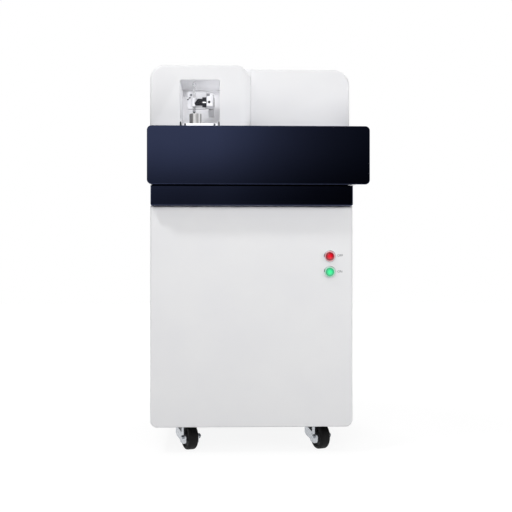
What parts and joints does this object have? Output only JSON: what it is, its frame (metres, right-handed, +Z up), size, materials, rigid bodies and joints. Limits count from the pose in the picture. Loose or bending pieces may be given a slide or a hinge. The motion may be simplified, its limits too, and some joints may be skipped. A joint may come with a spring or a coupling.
{
  "type": "optical emission spectrometer",
  "caption": "Floor-standing spark emission spectrometer on castors with a dark worktop, a white spark stand nose with a windowed alcove and a white optics cover",
  "frame": {"origin": "middle of the bounding box's footprint, on the floor that the castors stand on", "axes": "+Z up, +X to the right as seen from the front, +Y from the front to the back"},
  "size_m": [0.625, 0.78, 1.123],
  "materials": {
    "white_powder_coat": "fine white powder coat",
    "navy_gloss_paint": "glossy navy paint",
    "galvanised_sheet": "galvanised steel sheet",
    "zinc_plated_steel": "bright zinc plate",
    "machined_steel": "ground and turned steel",
    "cast_aluminium": "cast aluminium",
    "brass": "turned brass",
    "tungsten": "ground tungsten",
    "alumina_ceramic": "white ceramic",
    "black_plastic": "black moulded plastic",
    "castor_rubber": "black rubber and hub",
    "chrome": "chromed bezel",
    "red_plastic": "glossy red",
    "green_plastic": "glossy green",
    "circuit_board": "green circuit board",
    "spring_steel": "dark spring steel"
  },
  "bodies": {
    "cabinet": {"front_panel": "white_powder_coat", "left_side_panel": "white_powder_coat", "right_side_panel": "white_powder_coat", "rear_panel": "white_powder_coat", "spark_pod": "white_powder_coat", "optics_cover": "white_powder_coat", "alcove_liner": "white_powder_coat", "table_plate": "white_powder_coat", "waist_band": "navy_gloss_paint", "desk_body": "navy_gloss_paint", "base_pan": "galvanised_sheet", "mid_shelf": "galvanised_sheet", "top_deck": "galvanised_sheet", "power_supply": "galvanised_sheet", "front_left_castor_plate": "zinc_plated_steel", "front_right_castor_plate": "zinc_plated_steel", "rear_left_castor_plate": "zinc_plated_steel", "rear_right_castor_plate": "zinc_plated_steel", "test_sample": "machined_steel", "clamp_bracket": "machined_steel", "clamp_pivot_pin": "machined_steel", "spark_chamber": "cast_aluminium", "stand_column": "cast_aluminium", "light_pipe": "cast_aluminium", "optical_chamber": "cast_aluminium", "chamber_lid": "cast_aluminium", "spark_source": "cast_aluminium", "argon_valve_block": "cast_aluminium", "argon_inlet": "brass", "electrode": "tungsten", "electrode_insulator": "alumina_ceramic", "left_guide_strip": "black_plastic", "right_guide_strip": "black_plastic", "mains_inlet": "black_plastic", "data_socket": "black_plastic", "left_fan_frame": "black_plastic", "right_fan_frame": "black_plastic", "red_button_bezel": "chrome", "green_button_bezel": "chrome", "detector_board": "circuit_board", "control_board": "circuit_board"},
    "front_left_fork": {"front_left_castor_fork": "zinc_plated_steel"},
    "front_left_wheel": {"front_left_castor_wheel": "castor_rubber"},
    "front_right_fork": {"front_right_castor_fork": "zinc_plated_steel"},
    "front_right_wheel": {"front_right_castor_wheel": "castor_rubber"},
    "rear_left_fork": {"rear_left_castor_fork": "zinc_plated_steel"},
    "rear_left_wheel": {"rear_left_castor_wheel": "castor_rubber"},
    "rear_right_fork": {"rear_right_castor_fork": "zinc_plated_steel"},
    "rear_right_wheel": {"rear_right_castor_wheel": "castor_rubber"},
    "red_button": {"red_button_cap": "red_plastic"},
    "green_button": {"green_button_cap": "green_plastic"},
    "clamp": {"clamp_head": "machined_steel", "clamp_arm": "white_powder_coat", "clamp_spring": "spring_steel"},
    "clamp_plunger": {"clamp_rod": "machined_steel", "pressure_tip": "black_plastic"},
    "lever": {"lock_lever": "black_plastic"},
    "rocker": {"mains_switch": "black_plastic"},
    "left_rotor": {"left_fan_rotor": "black_plastic"},
    "right_rotor": {"right_fan_rotor": "black_plastic"}
  },
  "joints": [
    {"name": "front_left_castor_swivel", "type": "hinge", "parent": "cabinet", "child": "front_left_fork", "pos_m": [-0.2095, -0.214, 0.09], "axis": [0, 0, 1], "continuous": true},
    {"name": "front_left_wheel_roll", "type": "hinge", "parent": "front_left_fork", "child": "front_left_wheel", "pos_m": [-0.1973, -0.24141, 0.0375], "axis": [0.9135, 0.4067, 0], "continuous": true},
    {"name": "front_right_castor_swivel", "type": "hinge", "parent": "cabinet", "child": "front_right_fork", "pos_m": [0.1745, -0.214, 0.09], "axis": [0, 0, 1], "continuous": true},
    {"name": "front_right_wheel_roll", "type": "hinge", "parent": "front_right_fork", "child": "front_right_wheel", "pos_m": [0.1867, -0.24141, 0.0375], "axis": [0.9135, 0.4067, 0], "continuous": true},
    {"name": "rear_left_castor_swivel", "type": "hinge", "parent": "cabinet", "child": "rear_left_fork", "pos_m": [-0.2095, 0.266, 0.09], "axis": [0, 0, 1], "continuous": true},
    {"name": "rear_left_wheel_roll", "type": "hinge", "parent": "rear_left_fork", "child": "rear_left_wheel", "pos_m": [-0.1973, 0.23859, 0.0375], "axis": [0.9135, 0.4067, 0], "continuous": true},
    {"name": "rear_right_castor_swivel", "type": "hinge", "parent": "cabinet", "child": "rear_right_fork", "pos_m": [0.1745, 0.266, 0.09], "axis": [0, 0, 1], "continuous": true},
    {"name": "rear_right_wheel_roll", "type": "hinge", "parent": "rear_right_fork", "child": "rear_right_wheel", "pos_m": [0.1867, 0.23859, 0.0375], "axis": [0.9135, 0.4067, 0], "continuous": true},
    {"name": "red_button_press", "type": "slide", "parent": "cabinet", "child": "red_button", "axis": [0, 1, 0], "range_m": [0, 0.004], "stiffness_N_per_m": 300, "springref_m": -0.002},
    {"name": "green_button_press", "type": "slide", "parent": "cabinet", "child": "green_button", "axis": [0, 1, 0], "range_m": [0, 0.004], "stiffness_N_per_m": 300, "springref_m": -0.002},
    {"name": "clamp_swing", "type": "hinge", "parent": "cabinet", "child": "clamp", "pos_m": [-0.1355, -0.187, 1.026], "axis": [0, 0, 1], "range_deg": [-60, 0]},
    {"name": "plunger_lift", "type": "slide", "parent": "clamp", "child": "clamp_plunger", "axis": [0, 0, 1], "range_m": [0, 0.008], "stiffness_N_per_m": 400, "springref_m": -0.008, "deforming": ["clamp_spring"]},
    {"name": "lock_lever_turn", "type": "hinge", "parent": "clamp", "child": "lever", "pos_m": [-0.1482, -0.246, 1.0172], "axis": [1, 0, 0], "range_deg": [0, 90]},
    {"name": "mains_switch_rock", "type": "hinge", "parent": "cabinet", "child": "rocker", "pos_m": [0.1975, 0.3708, 0.175], "axis": [1, 0, 0], "range_deg": [-20, 0]},
    {"name": "left_fan_spin", "type": "hinge", "parent": "cabinet", "child": "left_rotor", "pos_m": [-0.1675, 0.355, 0.33], "axis": [0, 1, 0], "continuous": true},
    {"name": "right_fan_spin", "type": "hinge", "parent": "cabinet", "child": "right_rotor", "pos_m": [0.1325, 0.355, 0.33], "axis": [0, 1, 0], "continuous": true}
  ]
}
